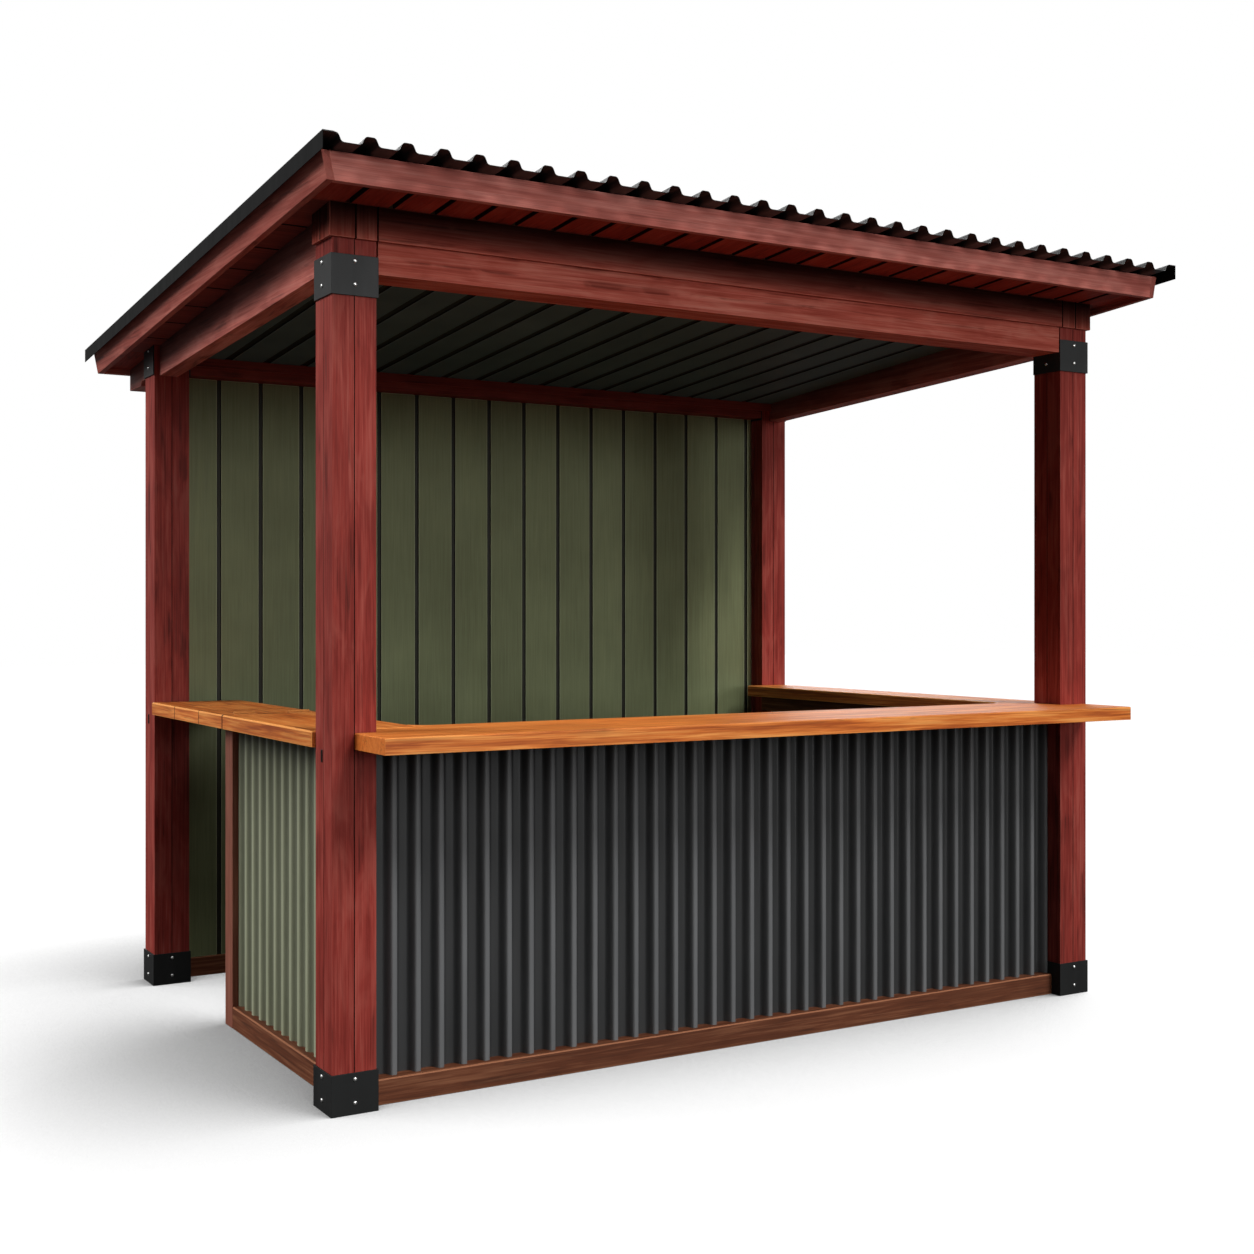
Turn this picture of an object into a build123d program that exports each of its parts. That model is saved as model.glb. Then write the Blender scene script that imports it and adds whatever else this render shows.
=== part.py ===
"""Timber garden bar: four posts in steel shoes, a lean-to roof of ribbed steel sheet,
corrugated steel panels under a wooden counter on three sides, a boarded back wall
and a lift-up counter flap over the doorway on the left.

Millimetres. +X runs along the front to the right, +Y to the back, +Z up.
The origin is on the ground under the middle of the roof.
"""
from build123d import *
import math
import os

# Post frame, outside to outside of the posts
frame_width = 3020.0
frame_depth = 2055.0
post_size = 135.0
fit_gap = 0.3

# Steel post shoes and head collars
steel_plate = 5.0
shoe_height = 120.0
collar_height = 118.0
collar_lap = 49.0
rear_collar_gap = 1.0

# Roof plane: the underside of the sheet's valleys, falling to the back
roof_pitch_deg = 4.2
roof_front_height = 2677.0
front_overhang = 235.0
rear_overhang = 345.0
sheet_front_lip = 70.0
sheet_rear_lip = 60.0
sheet_side_reach = 140.0
rib_spacing = 110.0
rib_height = 24.0
rib_width = 62.0
edge_rib_inset = 27.0
roof_sheet_thickness = 1.2
rib_outline_shares = [(-1.0, 0.0), (-0.78, 0.12), (-0.54, 0.82), (-0.36, 1.0)]

# Verge trims, fascias and soffits
verge_leg = 50.0
verge_flange = 32.0
verge_thickness = 1.5
fascia_height = 80.0
fascia_thickness = 22.0
side_fascia_reach = 104.0
side_fascia_lean = 16.0
soffit_thickness = 18.0
batten_depth = 41.0
batten_width = 45.0
purlin_depth = 80.0
purlin_width = 70.0
middle_purlins = 3
ceiling_thickness = 14.0

# Beams: each drop is from the roof plane down to the underside
front_beam_drop = 253.0
rear_beam_drop = 162.0
side_beam_drop = 227.0
side_beam_recess = 20.0
side_beam_thickness = 70.0
side_beam_fall_deg = 2.5
tail_step = 18.0
tail_neck = 125.0
frieze_drop = 158.0
frieze_thickness = 12.0
ceiling_trim_height = 34.0
ceiling_trim_thickness = 14.0

# Base rails, corrugated panels and the framing behind them
rail_height = 76.0
rail_depth = 80.0
front_rail_inset = 38.0
side_rail_inset = 60.0
panel_setback = 22.0
wave_spacing = 76.0
front_wave_depth = 30.0
side_wave_depth = 14.0
wave_ridge_power = 1.9
wave_steps = 10
panel_thickness = 1.2
top_rail_height = 70.0
stud_width = 70.0
front_studs = 2
side_studs = 1
end_stud_width = 80.0
doorway_width = 713.0

# Back wall
wall_thickness = 20.0
wall_setback = 80.0

# Counters
counter_height = 1097.0
counter_thickness = 48.0
counter_edge_bevel = 3.0
counter_gap = 1.0
front_counter_overhang = 231.0
front_counter_inner = 195.0
front_counter_end_inset = 12.0
counter_corner_radius = 80.0
left_counter_overhang = 12.0
left_counter_inner = 335.0
right_counter_inset = 10.0
right_counter_width = 212.0
right_counter_rear_gap = 2.0

# Lift-up flap and its surface hinges
flap_length = 900.0
flap_rear_gap = 8.0
flap_seam = 6.0
flap_seat_gap = 0.5
hinge_length = 72.0
hinge_leaf_width = 34.0
hinge_leaf_thickness = 2.5
hinge_knuckle_radius = 5.0
hinge_pin_radius = 2.5
hinge_pin_clearance = 0.1
hinge_axis_lift = 5.5
hinge_knuckle_gap = 0.5
hinge_leaf_gap = 1.0
hinge_spread_share = 0.56
hinge_knuckles = 3

# Planes of the frame
half_width = frame_width / 2
roof_front_reach = front_overhang + sheet_front_lip
roof_rear_reach = rear_overhang + sheet_rear_lip
front_face = (roof_front_reach - roof_rear_reach - frame_depth) / 2
rear_face = front_face + frame_depth
front_post_rear = front_face + post_size
rear_post_front = rear_face - post_size
post_inner = half_width - post_size
sleeve_reach = fit_gap + steel_plate
bay_half = post_inner - sleeve_reach - fit_gap
side_beam_outer = half_width - side_beam_recess
side_beam_inner = side_beam_outer - side_beam_thickness
counter_underside = counter_height - counter_thickness
slope = math.tan(math.radians(roof_pitch_deg))
beam_fall = math.tan(math.radians(side_beam_fall_deg))
sides = {"left": -1, "right": 1}

# Levels below the roof plane
soffit_top = -batten_depth
soffit_underside = soffit_top - soffit_thickness
ceiling_top = -purlin_depth
ceiling_underside = ceiling_top - ceiling_thickness

# Roof edges
front_fascia_face = front_face - front_overhang
front_fascia_back = front_fascia_face + fascia_thickness
rear_fascia_face = rear_face + rear_overhang
rear_fascia_front = rear_fascia_face - fascia_thickness
sheet_front = front_fascia_face - sheet_front_lip
sheet_rear = rear_fascia_face + sheet_rear_lip
sheet_half = half_width + sheet_side_reach


def roof_z(y):
    """Height of the roof plane at a distance y."""
    return roof_front_height - (y - front_face) * slope


# Beam undersides
front_beam_bottom = roof_z(front_face) - front_beam_drop
frieze_bottom = roof_z(front_face) - frieze_drop
rear_beam_bottom = roof_z(rear_post_front) - rear_beam_drop
side_beam_front_bottom = roof_z(front_post_rear) - side_beam_drop


def beam_bottom_z(y):
    """Height of the side beams' falling underside at a distance y."""
    return side_beam_front_bottom - (y - front_post_rear) * beam_fall


def fascia_inner(level):
    """Inner face of the leaning side fascia at a level below the roof plane."""
    outer = half_width + side_fascia_reach + side_fascia_lean * (1 + level / fascia_height)
    return outer - fascia_thickness


def block(x0, x1, y0, y1, z0, z1):
    """Box between two corners, the x limits in either order."""
    middle = Pos((x0 + x1) / 2, (y0 + y1) / 2, (z0 + z1) / 2)
    return middle * Box(abs(x1 - x0), y1 - y0, z1 - z0)


def prism(points, sweep):
    """Close an outline through the points and sweep it along a vector."""
    outline = Wire.make_polygon([Vector(*point) for point in points], close=True)
    return Solid.extrude(Face(outline), Vector(*sweep))


def plan_prism(points, z0, z1):
    """Prism on a plan outline of (x, y) points."""
    return prism([(x, y, z0) for x, y in points], (0, 0, z1 - z0))


def side_prism(points, x0, x1):
    """Prism on a side outline of (y, z) points."""
    return prism([(x0, y, z) for y, z in points], (x1 - x0, 0, 0))


def roof_run(section, y0, y1):
    """Run a section of (x, level) points down the slope, with plumb ends."""
    points = [(x, y0, roof_z(y0) + level) for x, level in section]
    return prism(points, (0, y1 - y0, roof_z(y1) - roof_z(y0)))


def roof_slab(x0, x1, y0, y1, low, high):
    """Flat layer between two levels under the roof plane."""
    return roof_run([(x0, low), (x1, low), (x1, high), (x0, high)], y0, y1)


def under_roof(x0, x1, y0, y1, z0, level):
    """Upright timber with a level foot and its head cut to the roof slope."""
    outline = [(y0, z0), (y1, z0), (y1, roof_z(y1) + level), (y0, roof_z(y0) + level)]
    return side_prism(outline, x0, x1)


def posts():
    """Four square posts that stand on their shoes' base plates."""
    result = {}
    for side, sign in sides.items():
        for end, y0 in (("front", front_face), ("rear", rear_post_front)):
            x0 = sign * post_inner
            x1 = sign * half_width
            post = under_roof(x0, x1, y0, y0 + post_size, steel_plate, soffit_top)
            result[f"post_{end}_{side}"] = post
    return result


def post_shoe(sign, y0):
    """Steel cup round a post's foot, open at the top."""
    outer = (post_inner - sleeve_reach, half_width + sleeve_reach)
    pocket = (post_inner - fit_gap, half_width + fit_gap)
    y1 = y0 + post_size
    cup = block(sign * outer[0], sign * outer[1], y0 - sleeve_reach, y1 + sleeve_reach, 0, shoe_height)
    hollow = block(
        sign * pocket[0], sign * pocket[1], y0 - fit_gap, y1 + fit_gap, steel_plate, shoe_height
    )
    return cup - hollow


def head_collar(sign, y0, facing, z0):
    """Three-sided steel collar round a post's head, open towards the inside of the bar."""
    outer = (post_inner - sleeve_reach, half_width + sleeve_reach)
    pocket = (post_inner - fit_gap, half_width + fit_gap)
    y1 = y0 + post_size
    z1 = z0 + collar_height
    front_reach = sleeve_reach if facing == "front" else 0
    rear_reach = sleeve_reach if facing == "rear" else 0
    front_pocket = fit_gap if facing == "front" else 0
    rear_pocket = fit_gap if facing == "rear" else 0
    channel = block(sign * outer[0], sign * outer[1], y0 - front_reach, y1 + rear_reach, z0, z1)
    hollow = block(sign * pocket[0], sign * pocket[1], y0 - front_pocket, y1 + rear_pocket, z0, z1)
    return channel - hollow


def steelwork():
    """Shoes under the posts and collars where the beams meet them."""
    front_z = front_beam_bottom + collar_lap - collar_height
    rear_z = roof_z(rear_face + sleeve_reach) + soffit_top - rear_collar_gap - collar_height
    shoes = []
    front_collars = []
    rear_collars = []
    for sign in sides.values():
        shoes.append(post_shoe(sign, front_face))
        shoes.append(post_shoe(sign, rear_post_front))
        front_collars.append(head_collar(sign, front_face, "front", front_z))
        rear_collars.append(head_collar(sign, rear_post_front, "rear", rear_z))
    return {"post_shoes": shoes, "front_collars": front_collars, "rear_collars": rear_collars}


def beam_tail(sign):
    """Shaped beam end behind a rear post, stepped down by a quarter-round cove."""
    y0 = rear_face + sleeve_reach
    y1 = rear_fascia_front
    low = beam_bottom_z(rear_face)
    neck_end = y0 + tail_neck
    cove_middle = tail_step * math.cos(math.radians(45))
    x0 = sign * side_beam_inner
    start = Vector(x0, neck_end, low + tail_step)
    middle = Vector(x0, neck_end + cove_middle, low + cove_middle)
    finish = Vector(x0, neck_end + tail_step, low)
    rest = [
        finish,
        Vector(x0, y1, low),
        Vector(x0, y1, roof_z(y1) + soffit_underside),
        Vector(x0, y0, roof_z(y0) + soffit_underside),
        Vector(x0, y0, low + tail_step),
        start,
    ]
    edges = [Edge.make_three_point_arc(start, middle, finish)]
    edges += [Edge.make_line(a, b) for a, b in zip(rest, rest[1:])]
    return Solid.extrude(Face(Wire(edges)), Vector(sign * side_beam_thickness, 0, 0))


def side_beam(sign):
    """Tapered beam between a front and a rear post, its head cut to the roof slope."""
    y0 = front_post_rear
    y1 = rear_post_front
    outline = [
        (y0, beam_bottom_z(y0)),
        (y1, beam_bottom_z(y1)),
        (y1, roof_z(y1) + soffit_top),
        (y0, roof_z(y0) + soffit_top),
    ]
    return side_prism(outline, sign * side_beam_inner, sign * side_beam_outer)


def beams():
    """Beams under the roof, the frieze over the front beam and the rear ceiling trim."""
    frieze_half = half_width + frieze_thickness
    frieze_face = front_face - frieze_thickness
    result = {
        "front_beam": under_roof(
            -bay_half, bay_half, front_face, front_post_rear, front_beam_bottom, ceiling_top
        ),
        "rear_beam": under_roof(
            -bay_half, bay_half, rear_post_front, rear_face, rear_beam_bottom, ceiling_top
        ),
        "front_frieze": under_roof(
            -frieze_half, frieze_half, frieze_face, front_face, frieze_bottom, soffit_underside
        ),
    }
    returns = []
    for side, sign in sides.items():
        result[f"{side}_beam"] = [side_beam(sign), beam_tail(sign)]
        returns.append(
            under_roof(
                sign * half_width,
                sign * frieze_half,
                front_face,
                front_post_rear,
                frieze_bottom,
                soffit_underside,
            )
        )
    result["frieze_returns"] = returns
    trim_front = rear_post_front - ceiling_trim_thickness
    trim_bottom = roof_z(rear_post_front) + ceiling_underside - ceiling_trim_height
    result["rear_ceiling_trim"] = under_roof(
        -side_beam_inner, side_beam_inner, trim_front, rear_post_front, trim_bottom, ceiling_underside
    )
    return result


def purlin_section():
    """Purlin that is notched where it passes over the posts and side beams."""
    head = fascia_inner(0)
    tail = fascia_inner(soffit_top)
    return [
        (-head, 0),
        (-tail, soffit_top),
        (-bay_half, soffit_top),
        (-bay_half, ceiling_top),
        (bay_half, ceiling_top),
        (bay_half, soffit_top),
        (tail, soffit_top),
        (head, 0),
    ]


def purlins():
    """Notched purlins over the frame and plain battens behind the two fascias."""
    head = fascia_inner(0)
    tail = fascia_inner(soffit_top)
    batten = [(-head, 0), (-tail, soffit_top), (tail, soffit_top), (head, 0)]
    first = front_face
    last = rear_face - purlin_width
    spaces = middle_purlins + 1
    starts = [first + (last - first) * step / spaces for step in range(spaces + 1)]
    runs = [roof_run(purlin_section(), start, start + purlin_width) for start in starts]
    runs.append(roof_run(batten, front_fascia_back, front_fascia_back + batten_width))
    runs.append(roof_run(batten, rear_fascia_front - batten_width, rear_fascia_front))
    return runs


def soffit_section(sign=0):
    """Soffit layer: the full width between the fascias, or one side outside its beam."""
    high = fascia_inner(soffit_top)
    low = fascia_inner(soffit_underside)
    if sign == 0:
        return [(-low, soffit_underside), (low, soffit_underside), (high, soffit_top), (-high, soffit_top)]
    return [
        (sign * side_beam_outer, soffit_underside),
        (sign * low, soffit_underside),
        (sign * high, soffit_top),
        (sign * side_beam_outer, soffit_top),
    ]


def head_notch(sign, y0):
    """Room round a post head and its collar."""
    reach = sleeve_reach + fit_gap
    y1 = y0 + post_size
    x0 = sign * (post_inner - reach)
    x1 = sign * (half_width + reach)
    return block(x0, x1, y0 - reach, y1 + reach, 0, roof_front_height)


def side_soffit(sign):
    """Side soffit with a notch round each post head."""
    layer = roof_run(soffit_section(sign), front_face, rear_face)
    return layer - head_notch(sign, front_face) - head_notch(sign, rear_post_front)


def rear_soffit():
    """Rear soffit with a notch round each rear collar."""
    layer = roof_run(soffit_section(), rear_face, rear_fascia_front)
    for sign in sides.values():
        layer = layer - head_notch(sign, rear_post_front)
    return layer


def side_fascia(sign):
    """Side fascia that leans outwards at its top edge."""
    section = [
        (sign * fascia_inner(-fascia_height), -fascia_height),
        (sign * (fascia_inner(-fascia_height) + fascia_thickness), -fascia_height),
        (sign * (fascia_inner(0) + fascia_thickness), 0),
        (sign * fascia_inner(0), 0),
    ]
    return roof_run(section, front_fascia_face, rear_fascia_face)


def end_fascia(y0):
    """Fascia between the two side fascias, its ends cut to their lean."""
    low = fascia_inner(-fascia_height)
    high = fascia_inner(0)
    section = [(-low, -fascia_height), (low, -fascia_height), (high, 0), (-high, 0)]
    return roof_run(section, y0, y0 + fascia_thickness)


def roof_sheet():
    """Ribbed sheet with its first and last ribs running out level to the side edges."""
    edge_rib = sheet_half - edge_rib_inset
    spaces = round(2 * edge_rib / rib_spacing)
    spacing = 2 * edge_rib / spaces
    rise = [(across * rib_width / 2, up * rib_height) for across, up in rib_outline_shares]
    fall = [(-across, up) for across, up in reversed(rise)]
    top = [(-sheet_half, rib_height)]
    top += [(-edge_rib + across, up) for across, up in fall]
    for rib in range(1, spaces):
        centre = -edge_rib + rib * spacing
        top += [(centre + across, up) for across, up in rise + fall]
    top += [(edge_rib + across, up) for across, up in rise]
    top.append((sheet_half, rib_height))
    upper = [(x, up + roof_sheet_thickness) for x, up in reversed(top)]
    return roof_run(top + upper, sheet_front, sheet_rear)


def verge_trim(sign):
    """Folded trim over the edge rib, with a leg that covers the sheet's side."""
    seat = rib_height + roof_sheet_thickness
    crown = seat + verge_thickness
    inside = sheet_half + fit_gap
    outside = inside + verge_thickness
    section = [
        (sign * (sheet_half - verge_flange), seat),
        (sign * inside, seat),
        (sign * inside, crown - verge_leg),
        (sign * outside, crown - verge_leg),
        (sign * outside, crown),
        (sign * (sheet_half - verge_flange), crown),
    ]
    return roof_run(section, sheet_front, sheet_rear)


def roof():
    """Sheet, trims, fascias, soffits, purlins and ceiling."""
    result = {
        "roof_sheet": roof_sheet(),
        "roof_purlins": purlins(),
        "ceiling": roof_slab(
            -side_beam_inner,
            side_beam_inner,
            front_post_rear,
            rear_post_front,
            ceiling_underside,
            ceiling_top,
        ),
        "front_fascia": end_fascia(front_fascia_face),
        "rear_fascia": end_fascia(rear_fascia_front),
        "front_soffit": roof_run(soffit_section(), front_fascia_back, front_face),
        "rear_soffit": rear_soffit(),
    }
    for side, sign in sides.items():
        result[f"{side}_verge_trim"] = verge_trim(sign)
        result[f"{side}_fascia"] = side_fascia(sign)
        result[f"{side}_soffit"] = side_soffit(sign)
    return result


def wave_line(length, depth):
    """Points (along, depth) of a corrugation with narrow ridges, from ridge to ridge."""
    waves = max(1, round(length / wave_spacing))
    count = waves * wave_steps
    line = []
    for step in range(count + 1):
        turn = 2 * math.pi * step / wave_steps
        ridge = ((1 + math.cos(turn)) / 2) ** wave_ridge_power
        line.append((length * step / count, depth * (1 - ridge)))
    return line


def wave_outline(length, depth):
    """Closed outline of a corrugated sheet, ridges on the near side."""
    line = wave_line(length, depth)
    return line + [(along, deep + panel_thickness) for along, deep in reversed(line)]


def side_place(sign, inset):
    """Distance x of a line set in from a side's outer post faces."""
    return sign * (half_width - inset)


front_rail_face = front_face + front_rail_inset
front_ridge = front_rail_face + panel_setback
side_ridge_inset = side_rail_inset + panel_setback
front_framing = front_ridge + front_wave_depth + panel_thickness
front_rail_back = front_rail_face + rail_depth
side_framing_inset = side_ridge_inset + side_wave_depth + panel_thickness
side_rail_back_inset = side_rail_inset + rail_depth
shoe_rear = front_post_rear + sleeve_reach
rear_shoe_front = rear_post_front - sleeve_reach
doorway_front = rear_post_front - doorway_width
end_stud_front = doorway_front - end_stud_width
top_rail_bottom = counter_underside - top_rail_height


def corrugated_panels():
    """Upright corrugated sheets that stand on the base rails, ridges outwards."""
    front = [
        (along - bay_half, front_ridge + deep)
        for along, deep in wave_outline(2 * bay_half, front_wave_depth)
    ]
    result = {"front_panel": plan_prism(front, rail_height, counter_underside)}
    ends = {"left": end_stud_front, "right": rear_shoe_front}
    for side, sign in sides.items():
        start = shoe_rear + fit_gap
        length = ends[side] - fit_gap - start
        outline = [
            (side_place(sign, side_ridge_inset + deep), start + along)
            for along, deep in wave_outline(length, side_wave_depth)
        ]
        result[f"{side}_panel"] = plan_prism(outline, rail_height, counter_underside)
    return result


def base_rails():
    """Rails on the ground between the shoes, and the stud that ends the left panel."""
    wall_front = rear_post_front + wall_setback
    result = {
        "front_base_rail": block(-bay_half, bay_half, front_rail_face, front_rail_back, 0, rail_height),
        "back_base_rail": block(-bay_half, bay_half, wall_front, rear_face, 0, rail_height),
    }
    ends = {"left": end_stud_front, "right": rear_shoe_front}
    for side, sign in sides.items():
        result[f"{side}_base_rail"] = block(
            side_place(sign, side_rail_inset),
            side_place(sign, side_rail_back_inset),
            shoe_rear,
            ends[side],
            0,
            rail_height,
        )
    result["left_end_stud"] = block(
        side_place(-1, side_rail_inset),
        side_place(-1, side_rail_back_inset),
        end_stud_front,
        doorway_front,
        0,
        counter_underside,
    )
    return result


def panel_framing():
    """Top rails under the counters and the studs behind the corrugated sheets."""
    result = {
        "front_top_rail": block(
            -post_inner, post_inner, front_framing, front_rail_back, top_rail_bottom, counter_underside
        )
    }
    ends = {"left": end_stud_front, "right": rear_post_front}
    for side, sign in sides.items():
        result[f"{side}_top_rail"] = block(
            side_place(sign, side_framing_inset),
            side_place(sign, side_rail_back_inset),
            front_post_rear,
            ends[side],
            top_rail_bottom,
            counter_underside,
        )
    studs = []
    for number in range(1, front_studs + 1):
        middle = -post_inner + 2 * post_inner * number / (front_studs + 1)
        x0 = middle - stud_width / 2
        studs.append(
            block(x0, x0 + stud_width, front_framing, front_rail_back, rail_height, top_rail_bottom)
        )
    for side, sign in sides.items():
        run = ends[side] - front_post_rear
        for number in range(1, side_studs + 1):
            y0 = front_post_rear + run * number / (side_studs + 1) - stud_width / 2
            studs.append(
                block(
                    side_place(sign, side_framing_inset),
                    side_place(sign, side_rail_back_inset),
                    y0,
                    y0 + stud_width,
                    rail_height,
                    top_rail_bottom,
                )
            )
    result["panel_studs"] = studs
    return result


def back_wall():
    """Boarded wall between the rear posts, from the back rail to the rear beam."""
    y0 = rear_post_front + wall_setback
    return block(-bay_half, bay_half, y0, y0 + wall_thickness, rail_height, rear_beam_bottom)


def eased(board):
    """Counter board with its top arrises bevelled."""
    return chamfer(board.faces().sort_by(Axis.Z)[-1].edges(), counter_edge_bevel)


left_counter_edge = -half_width - left_counter_overhang
left_counter_inside = -half_width + left_counter_inner
right_counter_edge = half_width - right_counter_inset
right_counter_inside = right_counter_edge - right_counter_width
flap_rear = rear_post_front - flap_rear_gap
flap_front = flap_rear - flap_length
hinge_y = flap_front - flap_seam / 2
hinge_z = counter_height + hinge_axis_lift


def corner_cove(sign, butt_x, inner_edge):
    """Infill that rounds the inner corner between the front counter and a side counter."""
    far_x = butt_x - sign * counter_corner_radius
    far_y = inner_edge + counter_corner_radius
    infill = block(butt_x, far_x, inner_edge, far_y, counter_underside, counter_height)
    middle_z = (counter_underside + counter_height) / 2
    return infill - Pos(far_x, far_y, middle_z) * Cylinder(counter_corner_radius, counter_thickness)


def counters():
    """Counter boards on the front and both sides, notched round the front posts."""
    notch_in = post_inner - counter_gap
    notch_front = front_face - counter_gap
    notch_back = front_post_rear + counter_gap
    butt = notch_back - counter_gap
    front_edge = front_face - front_counter_overhang
    inner_edge = front_face + front_counter_inner
    left_end = -half_width + post_size / 2
    right_end = half_width - front_counter_end_inset
    left_butt = left_counter_inside + counter_gap
    right_butt = right_counter_inside - counter_gap
    front_outline = [
        (left_end, front_edge),
        (right_end, front_edge),
        (right_end, notch_front),
        (notch_in, notch_front),
        (notch_in, butt),
        (right_butt, butt),
        (right_butt, inner_edge),
        (left_butt, inner_edge),
        (left_butt, butt),
        (-notch_in, butt),
        (-notch_in, notch_front),
        (left_end, notch_front),
    ]
    front_board = plan_prism(front_outline, counter_underside, counter_height)
    front_board += corner_cove(-1, left_butt, inner_edge)
    front_board += corner_cove(1, right_butt, inner_edge)
    left_board = block(
        left_counter_edge,
        left_counter_inside,
        notch_back,
        flap_front - flap_seam,
        counter_underside,
        counter_height,
    )
    right_board = block(
        right_counter_inside,
        right_counter_edge,
        notch_back,
        rear_post_front - right_counter_rear_gap,
        counter_underside,
        counter_height,
    )
    flap_board = block(
        left_counter_edge,
        left_counter_inside,
        flap_front,
        flap_rear,
        counter_underside + flap_seat_gap,
        counter_height,
    )
    return {
        "front_counter": eased(front_board),
        "left_counter": eased(left_board),
        "right_counter": eased(right_board),
        "counter_flap": eased(flap_board),
    }


def along_x(radius, x0, x1):
    """Round bar on the hinge axis."""
    return Pos((x0 + x1) / 2, hinge_y, hinge_z) * Rot(0, 90, 0) * Cylinder(radius, x1 - x0)


def hinge_leaf(x0, x1, toward, cut_x0, cut_x1):
    """Leaf on the counter top, cut back where the other half's knuckles turn."""
    z1 = counter_height + hinge_leaf_thickness
    free = hinge_knuckle_radius + hinge_leaf_gap
    far = hinge_y + toward * hinge_leaf_width
    leaf = block(x0, x1, min(hinge_y, far), max(hinge_y, far), counter_height, z1)
    relief = hinge_y + toward * free
    for cut0, cut1 in zip(cut_x0, cut_x1):
        leaf = leaf - block(
            cut0, cut1, min(hinge_y, relief), max(hinge_y, relief), counter_height, z1
        )
    return leaf


def hinges():
    """Two three-knuckle hinges: pin and outer knuckles fixed, middle knuckle on the flap."""
    spread = (left_counter_inside - left_counter_edge) * hinge_spread_share / 2
    middle = (left_counter_inside + left_counter_edge) / 2
    fixed = []
    moving = []
    for sign in sides.values():
        x0 = middle + sign * spread - hinge_length / 2
        x3 = x0 + hinge_length
        x1 = x0 + hinge_length / hinge_knuckles
        x2 = x3 - hinge_length / hinge_knuckles
        inner = (x1 - hinge_knuckle_gap, x2 + hinge_knuckle_gap)
        bore = hinge_pin_radius + hinge_pin_clearance
        still = hinge_leaf(x0, x3, -1, [inner[0]], [inner[1]])
        still += along_x(hinge_knuckle_radius, x0, inner[0])
        still += along_x(hinge_knuckle_radius, inner[1], x3)
        still += along_x(hinge_pin_radius, x0, x3)
        leaf = hinge_leaf(x0, x3, 1, [x0, x2], [x1, x3])
        turning = leaf + along_x(hinge_knuckle_radius, x1, x2)
        turning -= along_x(bore, x1, x2)
        fixed.append(still)
        moving.append(turning)
    return {"flap_hinge_fixed": fixed, "flap_hinge_moving": moving}


def model():
    """All nodes of the bar by name."""
    nodes = {"back_wall": back_wall()}
    for group in (
        posts(),
        steelwork(),
        beams(),
        roof(),
        corrugated_panels(),
        base_rails(),
        panel_framing(),
        counters(),
        hinges(),
    ):
        nodes.update(group)
    return nodes


os.makedirs("parts", exist_ok=True)
for name, shape in model().items():
    pieces = shape if isinstance(shape, list) else [shape]
    solids = [solid for piece in pieces for solid in piece.solids()]
    export_step(solids[0] if len(solids) == 1 else Compound(children=solids), f"parts/{name}.step")
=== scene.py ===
"""Looks of the timber garden bar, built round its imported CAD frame.

Metres, in the frame's axes: +X along the front to the right, +Y to the back, +Z up.
"""
import math
import random

import bmesh
import bpy
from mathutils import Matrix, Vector


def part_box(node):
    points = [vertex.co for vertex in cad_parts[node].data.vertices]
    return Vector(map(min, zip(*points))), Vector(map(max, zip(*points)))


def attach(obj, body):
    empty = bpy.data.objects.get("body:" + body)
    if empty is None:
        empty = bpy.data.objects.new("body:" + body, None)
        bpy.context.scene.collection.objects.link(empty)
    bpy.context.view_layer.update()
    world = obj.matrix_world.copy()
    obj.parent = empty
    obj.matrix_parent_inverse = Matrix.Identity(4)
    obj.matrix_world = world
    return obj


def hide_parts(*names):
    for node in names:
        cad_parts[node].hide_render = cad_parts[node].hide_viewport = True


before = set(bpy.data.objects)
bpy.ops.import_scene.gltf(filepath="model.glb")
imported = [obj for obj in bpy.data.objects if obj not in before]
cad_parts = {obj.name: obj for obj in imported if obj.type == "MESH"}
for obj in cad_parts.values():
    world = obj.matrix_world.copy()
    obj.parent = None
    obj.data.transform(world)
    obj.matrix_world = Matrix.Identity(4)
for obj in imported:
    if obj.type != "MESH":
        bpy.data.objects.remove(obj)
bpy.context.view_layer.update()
draw_seed = 4754
draw = random.Random(draw_seed)
X, Y, Z = 0, 1, 2

# Standard curve from display values to light
display_steps = 255
curve_foot_end = 0.04045
curve_foot_gain = 12.92
curve_offset = 0.055
curve_power = 2.4

# Camera
camera_place = (-3.1737, -5.4965, 1.4425)
camera_yaw_deg = 30.91
camera_tilt_deg = 90.0
camera_lens = 46.68
camera_sensor = 36.0
camera_shift_share = -0.0112

# Light and floor
floor_reach = 40.0
floor_drop = 0.0005
floor_bounce = (0.08, 0.08, 0.08, 1.0)
floor_white = 0.975
floor_shadow = 0.12
floor_roughness = 0.9
shadow_reach = 1.0
shadow_power = 2.0
shadow_lean = (0.9, -0.8, 0.35)
shadow_steps = 5
cover_reach = 2.6
cover_low_share = 0.18
cover_high_share = 0.45
backdrop = (1.0, 1.0, 1.0, 1.0)
ambient = (0.05, 0.05, 0.05, 1.0)
mirrored = (0.4, 0.4, 0.4, 1.0)
suns = [
    ("key", (0.55, -0.9, 1.3), 20.0, 2.1),
    ("front_fill", (0.0, -1.0, 0.44), 26.0, 0.52),
    ("low_front_fill", (0.28, -1.0, 0.11), 12.0, 0.66),
    ("left_fill", (-1.0, 0.42, 0.72), 36.0, 2.65),
    ("back_fill", (0.4, 1.0, 0.55), 40.0, 1.8),
]

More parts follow.
